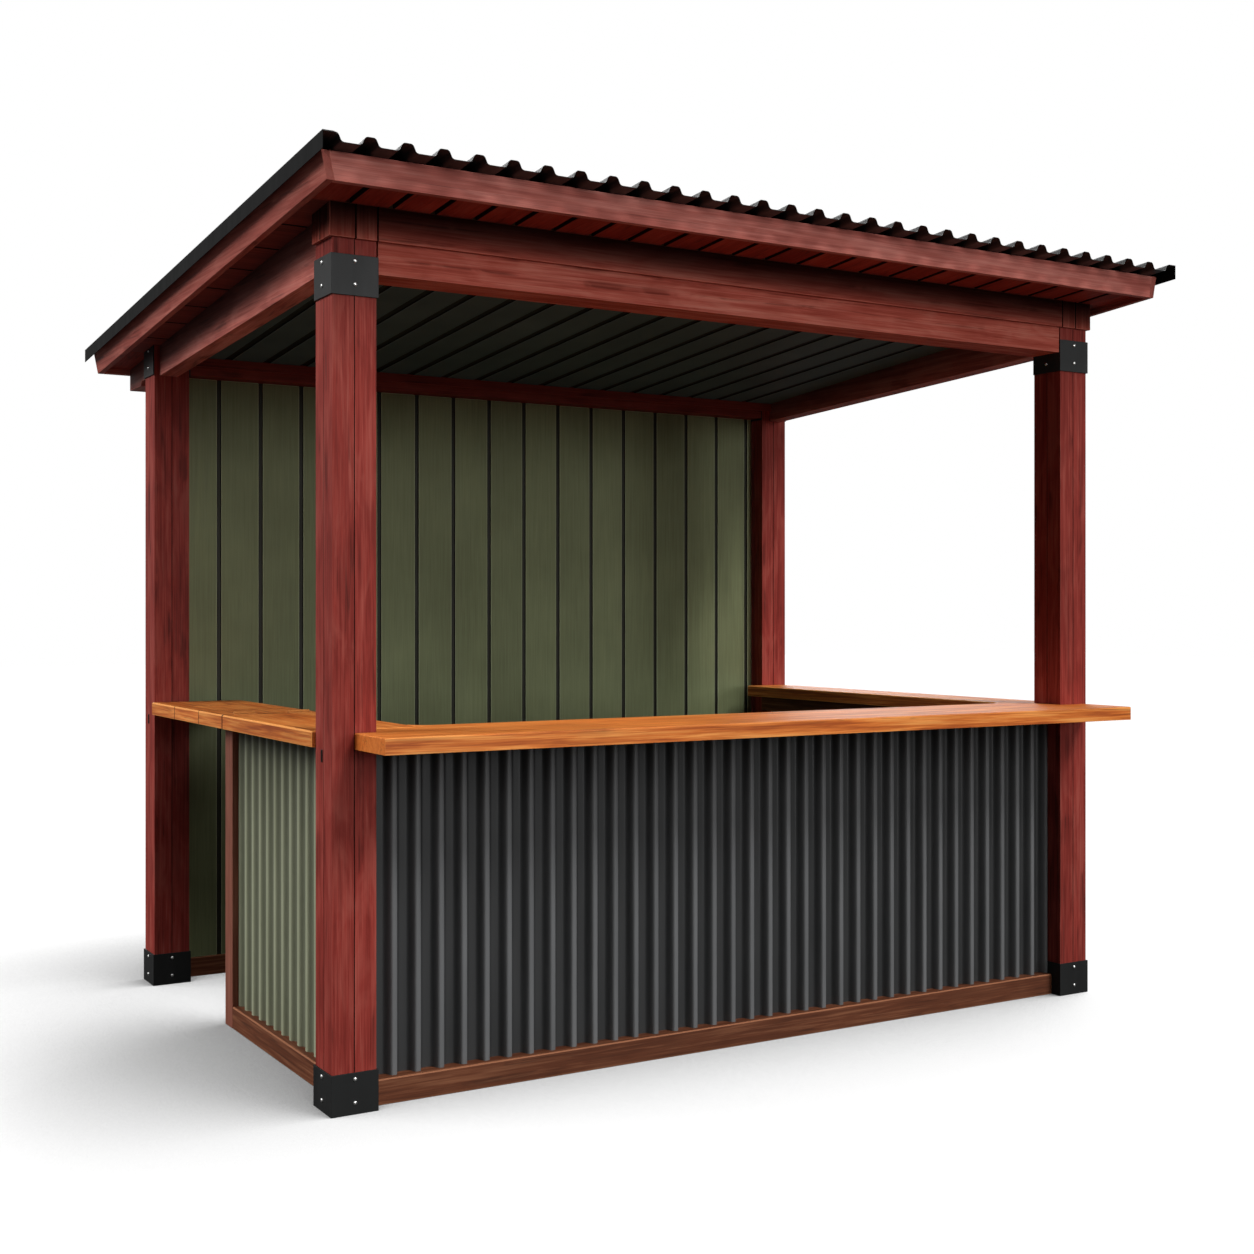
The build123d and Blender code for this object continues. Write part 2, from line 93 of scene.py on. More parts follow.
# Timber edges and joints
arris = 0.0018
arris_segments = 2
arris_profile_share = 0.5
arris_angle_deg = 25.0
weld_reach = 0.00002
flat_angle_deg = 0.5
fewest_faces = 4
counter_arris = 0.0055
board_arris = 0.0036
post_arris = 0.001
post_seam_gap = 0.001
seam_gap = 0.002
seam_darkness = 0.94
seam_colour = (0.006, 0.004, 0.003, 1.0)
tongue_share = 0.3
tongue_lift = 0.006
back_board_pitch = 0.1712
back_first_board = 0.137
back_board_gap = 0.016
ceiling_board_pitch = 0.1555
ceiling_first_board = 0.0412
ceiling_board_gap = 0.030
front_soffit_pitch = 0.133
front_soffit_gap = 0.017
side_soffit_pitch = 0.250
side_soffit_gap = 0.010
flap_board_places = (0.2095, 0.5175)
counter_seam_gap = 0.001
rail_arris = 0.004

# Wood grain
board_shift = (7.3, 3.1, 5.7)
noise_middle = 0.5
grain_stretch_share = 0.03
fibre_stretch_share = 0.012
figure_stretch_share = 0.07
vein_scale = 120.0
vein_detail = 4.0
vein_roughness = 0.6
vein_distortion = 0.4
fibre_scale = 420.0
fibre_detail = 3.0
fibre_roughness = 0.6
figure_scale = 5.0
figure_detail = 2.0
figure_roughness = 0.4
figure_rings = 70.0
patch_scale = 2.4
patch_detail = 3.0
fibre_shades = (0.88, 1.08)
patch_shades = (0.9, 1.08)
board_shades = (0.9, 1.1)
blotch_stretch_share = 0.3
blotch_scale = 13.0
blotch_detail = 3.0
blotch_roughness = 0.55
blotch_distortion = 0.6
blotch_dark_range = (0.48, 0.66)
blotch_light_range = (0.47, 0.33)
crack_stretch_share = 0.02
crack_scale = 26.0
crack_detail = 2.0
crack_distortion = 0.3
crack_range = (0.5, 0.6)
crack_width_share = 0.025
crack_darkness = 0.5
# Painted shade on timber towards the soffits: the frieze, the front beam and the side beams
painted_shade_low_share = 0.08
painted_shade_power = 3.2
side_painted_shade_share = 0.62
side_painted_shade_reach = 0.15
# Painted highlight on arrises: the light tone raised by this gain
arris_highlight_gain = 1.25
end_grain_share = 0.3
end_face_shares = (0.5, 0.9)
noise_low_share = 0.3
noise_high_share = 0.7
gloss_spread = 0.14
grain_bump = 0.2
grain_bump_depth = 0.001

# Paint on boards
brush_stretch_share = 0.03
brush_scale = 130.0
brush_detail = 4.0
brush_roughness = 0.6
brush_distortion = 0.3
brush_bump = 0.18
brush_bump_depth = 0.001
paint_patch_scale = 3.0
paint_patch_detail = 3.0
paint_range = (0.6, 1.4)
paint_board_shades = (0.92, 1.08)

# Coatings on metal
streak_stretch_shares = (1.0, 1.0, 0.12)
streak_scale = 22.0
streak_detail = 4.0
pore_detail = 2.0
pore_depth = 0.0004
metal_gloss_spread = 0.12

# Sheets
wave_spacing = 0.076
wave_steps = 28
wave_ridge_power = 4.0
wave_crest_power = 3.0
sheet_crease_deg = 40.0
panel_thickness = 0.0012
# Painted shade at the top of the panel sheets, under the counters
painted_top_shade_share = 0.22
painted_top_shade_power = 6.0
rib_spacing = 0.110
rib_height = 0.024
rib_width = 0.062
edge_rib_inset = 0.027
rib_corner_radius = 0.007
rib_corner_steps = 4
roof_sheet_thickness = 0.0012
rib_outline_shares = [(-1.0, 0.0), (-0.78, 0.12), (-0.54, 0.82), (-0.36, 1.0)]

# Brackets, bolts, screws and caps
steel_arris = 0.001
plate_reach = 0.0053
bolt_radius = 0.0064
bolt_height = 0.0044
bolt_rim = 0.0012
bolt_sides = 20
bolt_rings = 5
bolt_crease_deg = 50.0
bolt_level_shares = (0.15, 0.72)
screw_every = 3
valley_middle_share = 0.5
purlin_lines = 5
purlin_width = 0.070
slot_radius = 0.0045
slot_length = 0.038
slot_height = 0.003
slot_level = 1.028
slot_offset = 0.013
slot_steps = 8
slot_ring_shares = [(1.0, 0.0), (1.0, 0.6), (0.75, 1.0), (0.45, 1.0), (0.35, 0.25)]


def light_of(share):
    """Light of a display value from 0 to 1."""
    if share <= curve_foot_end:
        return share / curve_foot_gain
    return ((share + curve_offset) / (1 + curve_offset)) ** curve_power


def linear(red, green, blue):
    """Scene colour of an 8-bit display colour."""
    lights = [light_of(value / display_steps) for value in (red, green, blue)]
    return (*lights, 1.0)


def add(tree, kind, inputs=None, **settings):
    """Add a shader node, set its properties and set or link its inputs."""
    made = tree.nodes.new(kind)
    for name, value in settings.items():
        setattr(made, name, value)
    for socket, value in (inputs or {}).items():
        if isinstance(value, bpy.types.NodeSocket):
            tree.links.new(value, made.inputs[socket])
        else:
            made.inputs[socket].default_value = value
    return made


def blank(name):
    """Material with its node tree and its surface shader."""
    made = bpy.data.materials.new(name)
    made.use_nodes = True
    return made, made.node_tree, made.node_tree.nodes["Principled BSDF"]


def mix(tree, factor, first, second):
    """Colour between two colours."""
    return add(tree, "ShaderNodeMix", {0: factor, 6: first, 7: second}, data_type="RGBA").outputs[2]


def noise(tree, place, scale, detail, roughness=0.5, distortion=0.0):
    """Value of a noise texture."""
    made = add(
        tree,
        "ShaderNodeTexNoise",
        {
            "Vector": place,
            "Scale": scale,
            "Detail": detail,
            "Roughness": roughness,
            "Distortion": distortion,
        },
    )
    return made.outputs["Fac"]


def spread(tree, value, low, high, new_low, new_high):
    """Value moved from one range to another."""
    made = add(
        tree,
        "ShaderNodeMapRange",
        {"Value": value, "From Min": low, "From Max": high, "To Min": new_low, "To Max": new_high},
    )
    return made.outputs["Result"]


def ramp(tree, value, stops):
    """Colour from a value through colour stops."""
    made = add(tree, "ShaderNodeValToRGB", {"Fac": value})
    line = made.color_ramp.elements
    while len(line) < len(stops):
        line.new(1.0)
    for element, (place, colour) in zip(line, stops):
        element.position = place
        element.color = colour
    return made.outputs["Color"]


def scaled(tree, values, factor):
    """Colour or shift times a factor."""
    return add(tree, "ShaderNodeVectorMath", {0: values, "Scale": factor}, operation="SCALE").outputs[0]


def grain_place(tree, axis, stretch):
    """Coordinates stretched along the grain and shifted from board to board."""
    local = add(tree, "ShaderNodeTexCoord").outputs["Object"]
    tint = add(tree, "ShaderNodeAttribute", attribute_name="tint").outputs["Fac"]
    shift = scaled(tree, board_shift, tint)
    moved = add(tree, "ShaderNodeVectorMath", {0: local, 1: shift}, operation="ADD").outputs[0]
    scale = [1.0, 1.0, 1.0]
    scale[axis] = stretch
    return add(tree, "ShaderNodeMapping", {"Vector": moved, "Scale": scale}).outputs[0], tint, local


def sums(tree, operation, first, second):
    """Result of a sum of two values."""
    return add(tree, "ShaderNodeMath", {0: first, 1: second}, operation=operation).outputs[0]


def blotched(tree, axis, shade, dark, light, strength):
    """Colour with darker and paler blotches of stain and a few fine cracks along the grain."""
    place, _, _ = grain_place(tree, axis, blotch_stretch_share)
    blotches = noise(tree, place, blotch_scale, blotch_detail, blotch_roughness, blotch_distortion)
    deeper = mix(tree, spread(tree, blotches, *blotch_dark_range, 0.0, strength), shade, dark)
    paler = mix(tree, spread(tree, blotches, *blotch_light_range, 0.0, strength), deeper, light)
    line_place, _, _ = grain_place(tree, axis, crack_stretch_share)
    waves = noise(tree, line_place, crack_scale, crack_detail, distortion=crack_distortion)
    away = sums(tree, "ABSOLUTE", sums(tree, "SUBTRACT", waves, noise_middle), 0.0)
    line = spread(tree, away, 0.0, crack_width_share, crack_darkness, 0.0)
    kept = spread(tree, blotches, *crack_range, 0.0, 1.0)
    return mix(tree, sums(tree, "MULTIPLY", line, kept), paler, seam_colour)


def roughen(tree, shader, strength, depth, height):
    """Give a shader a fine relief from a height value."""
    bump = add(tree, "ShaderNodeBump", {"Strength": strength, "Distance": depth, "Height": height})
    tree.links.new(bump.outputs[0], shader.inputs["Normal"])


def painted_eaves_shade(tree):
    """Factor of painted shade that darkens timber towards the eaves, where its shade mark is set."""
    painted_shade = add(tree, "ShaderNodeAttribute", attribute_name="painted_shade").outputs["Fac"]
    lit = sums(tree, "POWER", sums(tree, "SUBTRACT", 1.0, painted_shade), painted_shade_power)
    return spread(tree, lit, 0.0, 1.0, painted_shade_low_share, 1.0)


def calmed(tree, axis, grain):
    """Grain with less contrast on the sawn ends."""
    normal = add(tree, "ShaderNodeTexCoord").outputs["Normal"]
    along = add(tree, "ShaderNodeSeparateXYZ", {0: normal}).outputs[axis]
    facing = sums(tree, "ABSOLUTE", along, 0.0)
    kept = spread(tree, facing, *end_face_shares, 1.0, end_grain_share)
    away = sums(tree, "MULTIPLY", sums(tree, "SUBTRACT", grain, noise_middle), kept)
    return sums(tree, "ADD", away, noise_middle)


def wood(name, axis, tones, shine, sheen, edge_light, figure, contrast, blotch):
    """Stained timber with its grain along an axis, from dark, middle and light tones, with painted
    highlights on its arrises and painted shade towards the eaves where marked.
    """
    made, tree, shader = blank(name)
    dark, _, light = tones
    place, tint, local = grain_place(tree, axis, grain_stretch_share)
    fine, _, _ = grain_place(tree, axis, fibre_stretch_share)
    long, _, _ = grain_place(tree, axis, figure_stretch_share)
    veins = noise(tree, place, vein_scale, vein_detail, vein_roughness, vein_distortion)
    fibres = noise(tree, fine, fibre_scale, fibre_detail, fibre_roughness)
    patches = noise(tree, local, patch_scale, patch_detail)
    swirl = noise(tree, long, figure_scale, figure_detail, figure_roughness)
    rings = sums(tree, "SINE", sums(tree, "MULTIPLY", swirl, figure_rings), 0.0)
    grain = calmed(tree, axis, sums(tree, "ADD", veins, sums(tree, "MULTIPLY", rings, figure)))
    places = (noise_middle - contrast, noise_middle, noise_middle + contrast)
    bare = ramp(tree, grain, list(zip(places, tones)))
    shade = blotched(tree, axis, bare, dark, light, blotch)
    fibre_shade = spread(tree, fibres, noise_low_share, noise_high_share, *fibre_shades)
    patch_shade = spread(tree, patches, noise_low_share, noise_high_share, *patch_shades)
    board_shade = spread(tree, tint, 0.0, 1.0, *board_shades)
    shades = sums(tree, "MULTIPLY", sums(tree, "MULTIPLY", fibre_shade, patch_shade), board_shade)
    # Painted shade towards the eaves, where the mesh carries its mark
    total = sums(tree, "MULTIPLY", shades, painted_eaves_shade(tree))
    # Painted highlight on the arrises and dark joints at the seams, from the edge mark
    edge = add(tree, "ShaderNodeAttribute", attribute_name="edge").outputs["Fac"]
    pale = [min(1.0, value * arris_highlight_gain) for value in light]
    arris_highlit = mix(tree, spread(tree, edge, 0.0, 1.0, 0.0, edge_light), scaled(tree, shade, total), pale)
    colour = mix(tree, spread(tree, edge, -1.0, 0.0, seam_darkness, 0.0), arris_highlit, seam_colour)
    tree.links.new(colour, shader.inputs["Base Color"])
    shader.inputs["Specular IOR Level"].default_value = sheen
    gloss = spread(tree, fibres, noise_low_share, noise_high_share, shine, shine + gloss_spread)
    tree.links.new(gloss, shader.inputs["Roughness"])
    height = sums(tree, "ADD", grain, fibres)
    roughen(tree, shader, grain_bump, grain_bump_depth, height)
    return made


def painted_boards(name, axis, dark, light, shine, sheen, edge_light):
    """Painted boards with brush marks and faint grain, and painted highlights on their arrises."""
    made, tree, shader = blank(name)
    place, tint, local = grain_place(tree, axis, brush_stretch_share)
    strokes = noise(tree, place, brush_scale, brush_detail, brush_roughness, brush_distortion)
    patches = noise(tree, local, paint_patch_scale, paint_patch_detail)
    amount = sums(tree, "ADD", strokes, patches)
    shade = ramp(tree, spread(tree, amount, *paint_range, 0.0, 1.0), [(0.0, dark), (1.0, light)])
    shaded = scaled(tree, shade, spread(tree, tint, 0.0, 1.0, *paint_board_shades))
    # Painted highlight on the arrises and dark joints at the seams, from the edge mark
    edge = add(tree, "ShaderNodeAttribute", attribute_name="edge").outputs["Fac"]
    arris_highlit = mix(tree, spread(tree, edge, 0.0, 1.0, 0.0, 1.0), shaded, edge_light)
    colour = mix(tree, spread(tree, edge, -1.0, 0.0, seam_darkness, 0.0), arris_highlit, seam_colour)
    tree.links.new(colour, shader.inputs["Base Color"])
    shader.inputs["Specular IOR Level"].default_value = sheen
    gloss = spread(tree, strokes, noise_low_share, noise_high_share, shine, shine + gloss_spread)
    tree.links.new(gloss, shader.inputs["Roughness"])
    roughen(tree, shader, brush_bump, brush_bump_depth, strokes)
    return made


def coated_metal(name, dark, light, shine, sheen, metallic, pore_scale, pore_strength, valley=1.0):
    """Coated or bare metal with a fine skin and slight weathering, with painted shade in its valleys and
    at the top of the sheets.
    """
    made, tree, shader = blank(name)
    local = add(tree, "ShaderNodeTexCoord").outputs["Object"]
    stretched = add(tree, "ShaderNodeMapping", {"Vector": local, "Scale": streak_stretch_shares})
    streaks = noise(tree, stretched.outputs[0], streak_scale, streak_detail)
    pores = noise(tree, local, pore_scale, pore_detail)
    shade = ramp(tree, streaks, [(noise_low_share, dark), (noise_high_share, light)])
    # Painted shade in the valleys of corrugated sheets: the valley share of the colour is kept at the
    # bottom of each valley
    deep = add(tree, "ShaderNodeAttribute", attribute_name="deep").outputs["Fac"]
    painted_valley_shade = spread(tree, deep, 0.0, 1.0, 1.0, valley)
    # Painted shade towards the top of the sheets, under the counters, where the mesh carries its mark
    painted_shade = add(tree, "ShaderNodeAttribute", attribute_name="painted_shade").outputs["Fac"]
    top = sums(tree, "POWER", painted_shade, painted_top_shade_power)
    painted_top_shade = spread(tree, top, 0.0, 1.0, 1.0, painted_top_shade_share)
    colour = scaled(tree, shade, sums(tree, "MULTIPLY", painted_valley_shade, painted_top_shade))
    tree.links.new(colour, shader.inputs["Base Color"])
    gloss = spread(tree, streaks, noise_low_share, noise_high_share, shine, shine + metal_gloss_spread)
    tree.links.new(gloss, shader.inputs["Roughness"])
    shader.inputs["Metallic"].default_value = metallic
    shader.inputs["Specular IOR Level"].default_value = sheen
    roughen(tree, shader, pore_strength, pore_depth, pores)
    return made


def wood_set(name, tones, **look):
    """One timber with the grain along each axis."""
    return [wood(f"{name}_{letter}", axis, tones, **look) for axis, letter in enumerate("xyz")]


red_tones = [linear(112, 36, 30), linear(146, 55, 47), linear(168, 84, 73)]
# The next two tones are lighter copies of the red stain for the fascias and side beams: painted light
lit_red_tones = [linear(156, 75, 65), linear(193, 106, 94), linear(216, 136, 123)]
pale_red_tones = [linear(132, 58, 48), linear(166, 84, 73), linear(190, 112, 98)]
# Lighter copy of the red stain for the frieze and front beam: painted light, darkened by painted shade
# towards the soffit
eaves_tones = [linear(156, 64, 51), linear(194, 96, 81), linear(212, 128, 110)]
soffit_tones = [linear(126, 40, 29), linear(158, 55, 42), linear(176, 78, 63)]
# Darker copy of the red stain for timber under the roof: painted shade
shaded_red_tones = [linear(90, 31, 24), linear(120, 46, 37), linear(140, 62, 51)]
brown_tones = [linear(80, 41, 23), linear(102, 55, 33), linear(142, 92, 64)]
oiled_tones = [linear(166, 78, 24), linear(210, 114, 44), linear(236, 154, 78)]
# Lighter copy of the brown stain for the end stud: painted light
lit_stud_tones = [linear(112, 62, 48), linear(134, 78, 62), linear(152, 98, 80)]
sawn_tones = [linear(120, 92, 62), linear(150, 120, 86), linear(176, 148, 112)]
red = wood_set(
    "red_stain", red_tones,
    shine=0.5, sheen=0.1, edge_light=0.3, figure=0.03, contrast=0.26, blotch=0.45,
)
pale_red = wood_set(
    "pale_red_stain", pale_red_tones,
    shine=0.5, sheen=0.15, edge_light=0.35, figure=0.07, contrast=0.26, blotch=0.4,
)
lit_red = wood_set(
    "lit_red_stain", lit_red_tones,
    shine=0.5, sheen=0.15, edge_light=0.35, figure=0.09, contrast=0.26, blotch=0.4,
)
eaves_red = wood_set(
    "eaves_red_stain", eaves_tones,
    shine=0.55, sheen=0.02, edge_light=0.3, figure=0.07, contrast=0.26, blotch=0.4,
)
soffit_red = wood_set(
    "soffit_red_stain", soffit_tones,
    shine=0.55, sheen=0.1, edge_light=0.3, figure=0.04, contrast=0.28, blotch=0.3,
)
shaded_red = wood_set(
    "shaded_red_stain", shaded_red_tones,
    shine=0.55, sheen=0.15, edge_light=0.3, figure=0.04, contrast=0.28, blotch=0.3,
)
brown = wood_set(
    "brown_stain", brown_tones,
    shine=0.55, sheen=0.2, edge_light=0.95, figure=0.05, contrast=0.26, blotch=0.12,
)
oiled = wood_set(
    "oiled_wood", oiled_tones,
    shine=0.42, sheen=0.25, edge_light=0.95, figure=0.07, contrast=0.18, blotch=0.06,
)
lit_brown = wood_set(
    "lit_brown_stain", lit_stud_tones,
    shine=0.55, sheen=0.2, edge_light=0.5, figure=0.05, contrast=0.28, blotch=0.2,
)
sawn = wood_set(
    "sawn_timber", sawn_tones,
    shine=0.7, sheen=0.2, edge_light=0.2, figure=0.08, contrast=0.25, blotch=0.2,
)
olive = painted_boards(
    "olive_paint", Z, linear(100, 106, 73), linear(130, 138, 100),
    shine=0.5, sheen=0.2, edge_light=linear(158, 165, 130),
)
charcoal_boards = painted_boards(
    "charcoal_paint", Y, linear(61, 78, 79), linear(86, 103, 103),
    shine=0.55, sheen=0.15, edge_light=linear(98, 115, 115),
)
# valley is the share of the colour kept in the painted valley shade
sage = coated_metal(
    "sage_coating", linear(150, 154, 127), linear(162, 166, 139),
    shine=0.42, sheen=0.3, metallic=0.0, pore_scale=900.0, pore_strength=0.05, valley=0.42,
)
charcoal = coated_metal(
    "charcoal_coating", linear(97, 98, 99), linear(107, 108, 109),
    shine=0.4, sheen=0.3, metallic=0.0, pore_scale=900.0, pore_strength=0.05, valley=0.2,
)
black = coated_metal(
    "black_coating", linear(22, 23, 23), linear(30, 31, 31),
    shine=0.4, sheen=0.4, metallic=0.0, pore_scale=900.0, pore_strength=0.05,
)
# Darker copy of the black coating for the verge trims: painted shade, with less sheen
trim = coated_metal(
    "shaded_black_trim", linear(9, 9, 9), linear(14, 14, 14),
    shine=0.55, sheen=0.08, metallic=0.0, pore_scale=900.0, pore_strength=0.05,
)
powder = coated_metal(
    "black_powder", linear(16, 17, 17), linear(23, 24, 24),
    shine=0.5, sheen=0.25, metallic=0.0, pore_scale=1600.0, pore_strength=0.25,
)
# Lighter copy of the black powder coat for the collars: painted light
lit_powder = coated_metal(
    "lit_collar_powder", linear(28, 29, 29), linear(38, 39, 39),
    shine=0.45, sheen=0.3, metallic=0.0, pore_scale=1600.0, pore_strength=0.25,
)
silver = coated_metal(
    "zinc_steel", linear(200, 200, 198), linear(228, 228, 226),
    shine=0.22, sheen=0.5, metallic=1.0, pore_scale=1200.0, pore_strength=0.08,
)
brass = coated_metal(
    "aged_brass", linear(186, 116, 52), linear(206, 136, 68),
    shine=0.5, sheen=0.3, metallic=0.2, pore_scale=1200.0, pore_strength=0.15,
)


def place_mesh(name, mesh, look, body, nodes):
    """Put a finished mesh into the scene on its body, in place of its CAD nodes."""
    piece = bpy.data.objects.new(name, mesh)
    bpy.context.scene.collection.objects.link(piece)
    for one in look if isinstance(look, list) else [look]:
        mesh.materials.append(one)
    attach(piece, body)
    if nodes:
        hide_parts(*nodes)
    return piece


def solid_of(node):
    """Welded copy of a CAD node with its flat faces whole."""
    made = bmesh.new()
    made.from_mesh(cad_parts[node].data)
    bmesh.ops.remove_doubles(made, verts=made.verts, dist=weld_reach)
    flat_angle = math.radians(flat_angle_deg)
    bmesh.ops.dissolve_limit(made, angle_limit=flat_angle, verts=made.verts, edges=made.edges)
    return made


def sliced(solid, axis, low, high):
    """Copy of a solid between two places along an axis, closed where it is cut."""
    made = solid.copy()
    for place, side in ((low, -1), (high, 1)):
        if place is None:
            continue
        point = [0.0, 0.0, 0.0]
        point[axis] = place
        normal = [0.0, 0.0, 0.0]
        normal[axis] = side
        parts = list(made.verts) + list(made.edges) + list(made.faces)
        bmesh.ops.bisect_plane(made, geom=parts, plane_co=point, plane_no=normal, clear_outer=True)
        bmesh.ops.holes_fill(made, edges=[edge for edge in made.edges if edge.is_boundary], sides=0)
    return made


def boards_of(solid, axis, places, gap):
    """Boards that a solid is cut into along an axis, with a gap between them."""
    limits = [None] + [(place - gap / 2, place + gap / 2) for place in places] + [None]
    boards = []
    for before, after in zip(limits, limits[1:]):
        low = before[1] if before else None
        high = after[0] if after else None
        board = sliced(solid, axis, low, high)
        if len(board.faces) >= fewest_faces:
            boards.append(board)
    return boards


def eased(board, width):
    """Bevel a board's sharp edges; returns its bevel faces."""
    bmesh.ops.recalc_face_normals(board, faces=board.faces)
    limit = math.radians(arris_angle_deg)
    paired = [edge for edge in board.edges if len(edge.link_faces) == 2]
    sharp = [edge for edge in paired if edge.calc_face_angle(0) > limit]
    result = bmesh.ops.bevel(
        board,
        geom=sharp,
        offset=width,
        offset_type="OFFSET",
        segments=arris_segments,
        profile=arris_profile_share,
        affect="EDGES",
        clamp_overlap=True,
    )
    return set(result["faces"])


def near_seam(face, seams, reach):
    """True where a face lies within reach of a seam plane."""
    centre = face.calc_center_median()
    return any(abs(centre[axis] - place) < reach for axis, place in seams)


def joined(name, boards, width, seams=(), reach=0.0):
    """One mesh of eased boards, with a tint for each board and marks on arrises and seams."""
    points = []
    faces = []
    tints = []
    marks = []
    looks = []
    for board, look in boards:
        bevels = eased(board, width) if width else set()
        start = len(points)
        board.verts.index_update()
        points += [vertex.co[:] for vertex in board.verts]
        tint = draw.random()
        for face in board.faces:
            faces.append([start + vertex.index for vertex in face.verts])
            tints.append(tint)
            # Edge marks: -1 for dark joints at the seams, 1 for arrises that the shaders paint with a
            # highlight
            if near_seam(face, seams, reach):
                marks.append(-1.0)
            else:
                marks.append(1.0 if face in bevels else 0.0)
            looks.append(look)
        board.free()
    mesh = bpy.data.meshes.new(name)
    mesh.from_pydata(points, [], faces)
    mesh.attributes.new("tint", "FLOAT", "FACE").data.foreach_set("value", tints)
    mesh.attributes.new("edge", "FLOAT", "FACE").data.foreach_set("value", marks)
    mesh.polygons.foreach_set("material_index", looks)
    mesh.update()
    return mesh


def timber(node, look, cuts=(), gap=0.0, width=arris, body="root", dark_ends=()):
    """Eased boards in place of a CAD node, cut at places along axes and dark at some ends."""
    boards = [solid_of(node)]
    for axis, places in cuts:
        boards = [part for board in boards for part in boards_of(board, axis, places, gap)]
    seams = [(axis, place) for axis, places in cuts for place in places] + list(dark_ends)
    mesh = joined(f"{node}_timber", [(board, 0) for board in boards], width, seams, gap / 2 + width)
    return place_mesh(f"{node}_timber", mesh, look, body, [node])


def even_places(low, high, pitch):
    """Joints that share out a length in equal boards."""
    count = max(1, round((high - low) / pitch))
    return [low + (high - low) * number / count for number in range(1, count)]


def run_of_boards(low, high, pitch, first):
    """Joints of full boards after a first board that is ripped to fit."""
    count = math.ceil((high - low - first) / pitch)
    return [low + first + pitch * number for number in range(count)]


def middle(node, axis):
    """Middle of a node along an axis."""
    low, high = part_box(node)
    return (low[axis] + high[axis]) / 2


posts = ["post_front_left", "post_front_right", "post_rear_left", "post_rear_right"]
for post in posts:
    halves = [(X, [middle(post, X)]), (Y, [middle(post, Y)])]
    timber(post, red[Z], halves, post_seam_gap, post_arris)

# The rear beam, its trim and the side soffits take the darker copy of the red stain: painted shade
timber("rear_beam", shaded_red[X], [(Z, [middle("rear_beam", Z)])], seam_gap)
timber("rear_ceiling_trim", shaded_red[X])
# The fascias take lighter copies of the red stain: painted light
timber("front_fascia", lit_red[X])
timber("rear_fascia", lit_red[X])
for side in ("left", "right"):
    timber(f"{side}_fascia", pale_red[Y])
    soffit_low, soffit_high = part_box(f"{side}_soffit")
    joints = even_places(soffit_low[Y], soffit_high[Y], side_soffit_pitch)
    timber(f"{side}_soffit", shaded_red[X], [(Y, joints)], side_soffit_gap)
for end in ("front", "rear"):
    soffit_low, soffit_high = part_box(f"{end}_soffit")
    joints = even_places(soffit_low[X], soffit_high[X], front_soffit_pitch)
    timber(f"{end}_soffit", soffit_red[Y], [(X, joints)], front_soffit_gap)


def shade_eaves(mesh):
    """Mark for painted shade: how near each point of a mesh lies to the soffit, from the middle of the
    front beam.
    """
    foot = middle("front_beam", Z)
    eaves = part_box("front_frieze")[1][Z]
    shares = [(vertex.co[Z] - foot) / (eaves - foot) for vertex in mesh.vertices]
    mesh.attributes.new("painted_shade", "FLOAT", "POINT").data.foreach_set("value", shares)


def roof_slope():
    """Fall of the roof for each metre towards the back."""
    low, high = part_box("roof_sheet")
    return (high[Z] - rib_height - roof_sheet_thickness - low[Z]) / (high[Y] - low[Y])


def side_beams():
    """Side beams with painted shade that darkens them towards the soffits over them."""
    for side in ("left", "right"):
        beam = timber(f"{side}_beam", lit_red[Y]).data
        low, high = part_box(f"{side}_beam")
        places = [point.co for point in beam.vertices]
        depths = [high[Z] - roof_slope() * (place[Y] - low[Y]) - place[Z] for place in places]
        shares = [side_painted_shade_share * (1 - depth / side_painted_shade_reach) for depth in depths]
        beam.attributes.new("painted_shade", "FLOAT", "POINT").data.foreach_set("value", shares)


side_beams()


def frieze():
    """Frieze board between the posts, with upright boards over the posts."""
    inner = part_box("post_front_left")[1][X]
    centre = middle("post_front_left", X)
    places = [centre, inner, -inner, -centre]
    boards = boards_of(solid_of("front_frieze"), X, places, seam_gap)
    looks = [1, 1, 0, 1, 1]
    seams = [(X, place) for place in places]
    mesh = joined("front_frieze_timber", list(zip(boards, looks)), arris, seams, seam_gap / 2 + arris)
    grains = [eaves_red[X], eaves_red[Z]]
    board = place_mesh("front_frieze_timber", mesh, grains, "root", ["front_frieze"])
    return_halves = [(Y, [middle("frieze_returns", Y)])]
    returns = timber("frieze_returns", eaves_red[Z], return_halves, seam_gap)
    beam = timber("front_beam", eaves_red[X])
    # Painted shade on the frieze, its returns and the front beam, darker towards the soffit
    for piece in (board, returns, beam):
        shade_eaves(piece.data)


frieze()

for rail in ("front_base_rail", "back_base_rail", "front_top_rail"):
    timber(rail, brown[X], width=rail_arris)
for rail in ("left_base_rail", "right_base_rail", "left_top_rail", "right_top_rail"):
    timber(rail, brown[Y], width=rail_arris)
# The end stud takes the lighter copy of the brown stain: painted light
timber("left_end_stud", lit_brown[Z])
timber("panel_studs", brown[Z])
timber("roof_purlins", sawn[X])

timber("front_counter", oiled[X], width=counter_arris)
counter_end = (Y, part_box("left_counter")[1][Y])
flap_end = (Y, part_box("counter_flap")[0][Y])
timber("left_counter", oiled[Y], width=counter_arris, dark_ends=[counter_end])
timber("right_counter", oiled[Y], width=counter_arris)
flap_cuts = [(Y, flap_board_places)]
timber(
    "counter_flap",
    oiled[Y],
    flap_cuts,
    counter_seam_gap,
    counter_arris,
    "flap",
    [flap_end],
)


